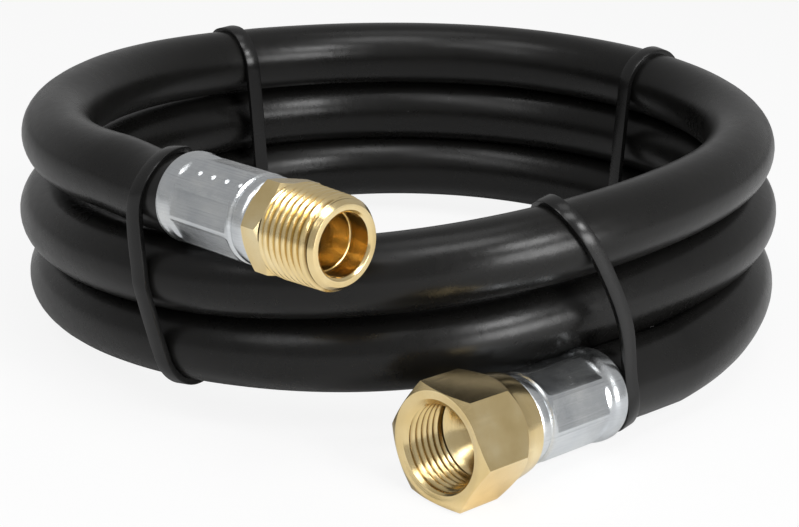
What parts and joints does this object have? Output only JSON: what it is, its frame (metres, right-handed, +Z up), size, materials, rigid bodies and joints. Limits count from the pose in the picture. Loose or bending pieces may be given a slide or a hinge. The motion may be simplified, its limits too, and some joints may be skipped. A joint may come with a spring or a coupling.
{
  "type": "propane regulator hose",
  "caption": "Coiled black gas supply hose with crimped steel ferrules, a brass male taper thread at one end and a swivelling brass flare nut at the other, held in its coil by cable ties.",
  "frame": {"origin": "middle of the footprint, on the surface that the coil lies on", "axes": "+Z up, the coil's own axis leaning about 5 degrees from it as it rests; -Y towards the two end fittings; +X from the male end towards the swivel end's ferrule"},
  "size_m": [0.1628, 0.1847, 0.0547],
  "materials": {
    "hose_rubber": "satin extruded rubber with a faint wrapped texture",
    "braid": "woven yarn",
    "liner": "smooth",
    "zinc_steel": "bright zinc plate, crimped",
    "brass": "turned, fine machining marks",
    "tie_nylon": "moulded nylon"
  },
  "bodies": {
    "hose": {"hose_cover": "hose_rubber", "hose_braid": "braid", "hose_liner": "liner", "male_ferrule": "zinc_steel", "male_stem": "brass", "swivel_ferrule": "zinc_steel", "swivel_stem": "brass", "tie_front_left": "tie_nylon", "tie_back_left": "tie_nylon", "tie_back_right": "tie_nylon", "tie_front_right": "tie_nylon"},
    "swivel_nut": {"swivel_nut": "brass"}
  },
  "joints": [
    {"name": "nut_swivel", "type": "hinge", "parent": "hose", "child": "swivel_nut", "pos_m": [0.00974, -0.08041, 0.01043], "axis": [-0.7222, -0.6915, 0.0165], "continuous": true}
  ]
}
